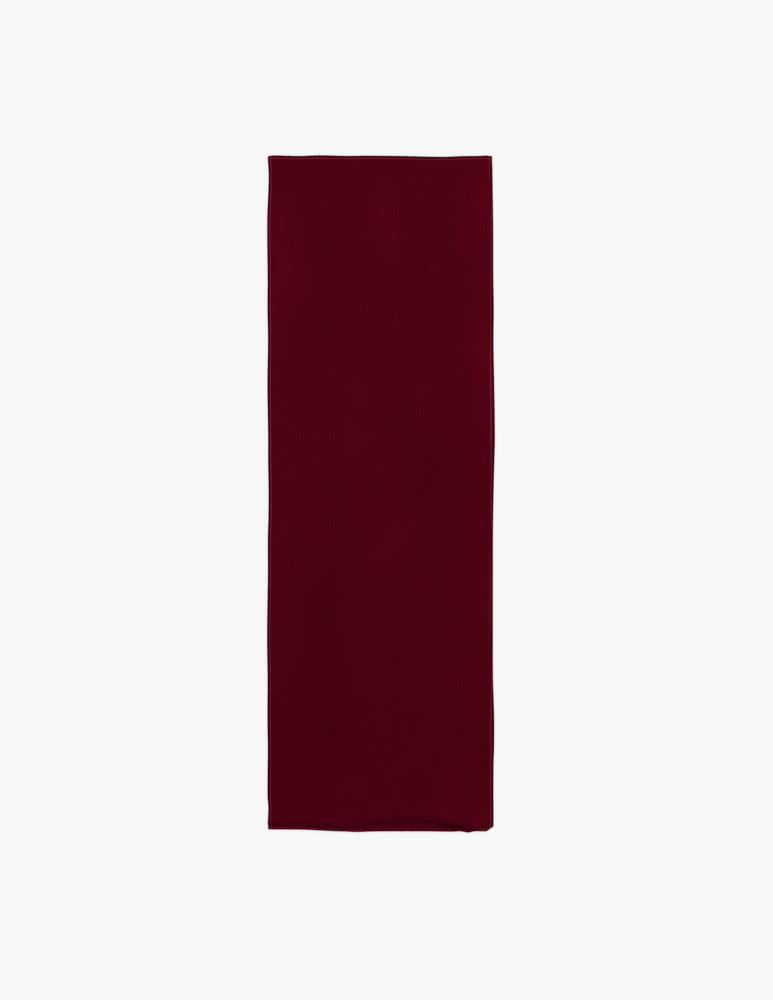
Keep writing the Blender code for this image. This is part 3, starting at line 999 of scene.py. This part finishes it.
def yarn_material(name):
    """One yarn of the same wool, with the twist of its two plies, mixed from a deeper colour as painted
    shade.
    """
    material = bpy.data.materials.new(name)
    shader = wool_shader(material)
    tree = material.node_tree
    round_yarn, along_yarn, painted_shading = kept(tree)
    turns = sum_up(tree, "MULTIPLY_ADD", along_yarn, YARN_TWIST, round_yarn)
    plies = sum_up(tree, "ABSOLUTE", sum_up(tree, "SINE", sum_up(tree, "MULTIPLY", turns, 2 * math.pi)))
    fibres = speckle(tree, FIBRES_A_METRE, detail=2.0)
    relief = sum_up(tree, "MULTIPLY_ADD", fibres, YARN_FIBRE_RELIEF, plies)
    raise_surface(tree, shader, relief, YARN_DEPTH)
    lightness = sum_up(tree, "MULTIPLY_ADD", plies, STRAND_LIGHTNESS, painted_shading)
    lightness = sum_up(tree, "MULTIPLY_ADD", fibres, FIBRE_LIGHTNESS, lightness)
    dye(tree, shader, lightness, YARN_SHADED_DEEP)
    return material


def end_chain_heights(shares):
    """The chain rises over every rib and dips at every furrow."""
    return -END_CHAIN_WAVE * np.cos(2 * math.pi * shares * RIB_COUNT)


def end_chain(name, line, painted_shading, rim_highlight):
    """A chain along a free end, with the same painted shading and painted highlight all along."""
    alike = np.ones(END_CHAIN_POINTS)
    pitch = PANEL_WIDTH / RIB_COUNT / WALES_A_RIB
    return make_chain(name, line, (0, -1, 0), pitch, CHAIN_WIDTH, painted_shading * alike, rim_highlight * alike)


chain_wool = yarn_material("dark_red_yarn")
chain_shares = np.linspace(END_CHAIN_MARGIN, 1 - END_CHAIN_MARGIN, END_CHAIN_POINTS)
chain_heights = end_chain_heights(chain_shares)
chain_along = -REACH + END_CHAIN_INSET
cast_off_line = upper_row(chain_shares, CAST_OFF_HEIGHT + chain_heights, Station(chain_along, 0.0, 0.0))
cast_on_line = under_row(chain_shares, CAST_ON_HEIGHT + chain_heights, chain_along)
cast_off_chain = end_chain("cast_off_chain", cast_off_line, CAST_OFF_PAINTED_LIGHT, 0.0)
cast_on_chain = end_chain("cast_on_chain", cast_on_line, CAST_ON_PAINTED_SHADE, CAST_ON_RIM_HIGHLIGHT)

for chain, cloth in ((cast_off_chain, upper_knit), (cast_on_chain, under_knit)):
    chain.data.materials.append(chain_wool)
    chain.parent = cloth

# --------------------------------------------------------------------
# The chains along the two sides: the first stitch of every second course, slipped and not
# knitted, so that it stands at the edge as one long loop.  Each chain runs unbroken from the
# cast-off end round the fold to the cast-on end.

SIDE_LOOP_PITCH = 2 * COURSE
SIDE_CHAIN_WIDTH = 1.7 * MM
SIDE_CHAIN_INSET = 0.8 * MM
SIDE_CHAIN_HEIGHT = 1.25 * MM
SIDE_CHAIN_SHORT = 1.4 * MM
SIDE_CHAIN_STEP_OVER = 4 * MM
# Painted shade on the side chains, and painted light on the upper half's right chain.
SIDE_PAINTED_SHADE = -0.14
UPPER_RIGHT_PAINTED_LIGHT = 0.16


def side_line(side_share):
    """The line of one side, from the cast-off end round the fold to the cast-on end.

    Past the foot of the fold it steps over to the lower half.
    """
    shares = np.array([side_share])
    heights = np.array([SIDE_CHAIN_HEIGHT])
    above = [upper_row(shares, heights, station)[0] for station in upper_stations()]
    first, last = FOLD_START - FOLD_FOOT - SIDE_CHAIN_STEP_OVER, -REACH + SIDE_CHAIN_SHORT
    back = [*spaced(first, last, -UNDER_ROW_SPACING), last]
    beneath = [under_row(shares, UNDER_THICKNESS - heights, along)[0] for along in back]
    return above, beneath


for side, outwards, inset, upper_painted_shading, upper_rim_highlight in (
    ("left", (-1, 0, 0), SIDE_CHAIN_INSET, SIDE_PAINTED_SHADE, OUTER_RIM_HIGHLIGHT),
    ("right", (1, 0, 0), PANEL_WIDTH - SIDE_CHAIN_INSET, UPPER_RIGHT_PAINTED_LIGHT, 0.0),
):
    above, beneath = side_line(inset / PANEL_WIDTH)
    painted_shading = [upper_painted_shading] * len(above) + [SIDE_PAINTED_SHADE] * len(beneath)
    rim_highlight = [upper_rim_highlight] * len(above) + [OUTER_RIM_HIGHLIGHT] * len(beneath)
    side_chain = make_chain(
        "side_chain_" + side, above + beneath, outwards, SIDE_LOOP_PITCH, SIDE_CHAIN_WIDTH, painted_shading, rim_highlight
    )
    side_chain.data.materials.append(chain_wool)
    side_chain.parent = upper_knit

# --------------------------------------------------------------------
# The surface the scarf lies on: a wide pale light table.  It glows a little from below, which
# thins the shadows on it, and its top is a hair under the cloth.

TABLE_SIZE = 40.0
TABLE_DROP = 0.3 * MM
TABLE_COLOUR = (0.135, 0.135, 0.135, 1.0)
TABLE_ROUGHNESS = 1.0
TABLE_SHINE = 0.0
TABLE_GLOW = 0.80
TABLE_GLOW_COLOUR = (1.0, 1.0, 1.0, 1.0)

half = TABLE_SIZE / 2
table_mesh = bpy.data.meshes.new("light_table")
table_corners = [(x, y, -TABLE_DROP) for x, y in ((-half, -half), (half, -half), (half, half), (-half, half))]
table_mesh.from_pydata(table_corners, [], [(0, 1, 2, 3)])
light_table = bpy.data.objects.new("light_table", table_mesh)
bpy.context.collection.objects.link(light_table)
pale = bpy.data.materials.new("pale_table")
pale.use_nodes = True
pale_shader = pale.node_tree.nodes["Principled BSDF"]
pale_shader.inputs["Base Color"].default_value = TABLE_COLOUR
pale_shader.inputs["Roughness"].default_value = TABLE_ROUGHNESS
pale_shader.inputs["Specular IOR Level"].default_value = TABLE_SHINE
pale_shader.inputs["Emission Color"].default_value = TABLE_GLOW_COLOUR
pale_shader.inputs["Emission Strength"].default_value = TABLE_GLOW
light_table.data.materials.append(pale)

# --------------------------------------------------------------------
# The light: a pale room that is brightest round its walls, and one big soft light high over
# the fold end, so that what faces the free ends is in a little shade.

WALL_LIGHT = (0.93, 0.93, 0.93, 1.0)
WALL_TOP = 0.12
CEILING_LIGHT = (0.40, 0.40, 0.40, 1.0)
CEILING_FROM = 0.50
SOFT_LIGHT_TILT = math.radians(-48)
SOFT_LIGHT_SIZE = math.radians(46)
SOFT_LIGHT_POWER = 2.5

room = bpy.data.worlds.new("room")
bpy.context.scene.world = room
room.use_nodes = True
nodes, links = room.node_tree.nodes, room.node_tree.links
direction = nodes.new("ShaderNodeTexCoord")
upwards = nodes.new("ShaderNodeSeparateXYZ")
height = nodes.new("ShaderNodeMapRange")
height.inputs["From Min"].default_value = WALL_TOP
height.inputs["From Max"].default_value = CEILING_FROM
tone = nodes.new("ShaderNodeMix")
tone.data_type = "RGBA"
tone.inputs["A"].default_value = WALL_LIGHT
tone.inputs["B"].default_value = CEILING_LIGHT
links.new(direction.outputs["Generated"], upwards.inputs[0])
links.new(upwards.outputs["Z"], height.inputs["Value"])
links.new(height.outputs[0], tone.inputs["Factor"])
links.new(tone.outputs["Result"], nodes["Background"].inputs["Color"])

soft_light = bpy.data.lights.new("soft_light", "SUN")
soft_light.energy = SOFT_LIGHT_POWER
soft_light.angle = SOFT_LIGHT_SIZE
soft_light_stand = bpy.data.objects.new("soft_light", soft_light)
soft_light_stand.rotation_euler = (SOFT_LIGHT_TILT, 0, 0)
bpy.context.collection.objects.link(soft_light_stand)
bpy.context.scene.view_settings.view_transform = "Standard"

# --------------------------------------------------------------------
# The camera: it looks straight down from above the middle, through a long lens, and far enough
# off to see well past the scarf on every side.

CAMERA_LENS = 85
CAMERA_SENSOR = 36
CAMERA_PLACE = (7.3 * MM, -8.1 * MM, 3144 * MM)

camera = bpy.data.cameras.new("camera")
camera.lens = CAMERA_LENS
camera.sensor_width = CAMERA_SENSOR
camera_stand = bpy.data.objects.new("camera", camera)
camera_stand.location = CAMERA_PLACE
bpy.context.collection.objects.link(camera_stand)
bpy.context.scene.camera = camera_stand
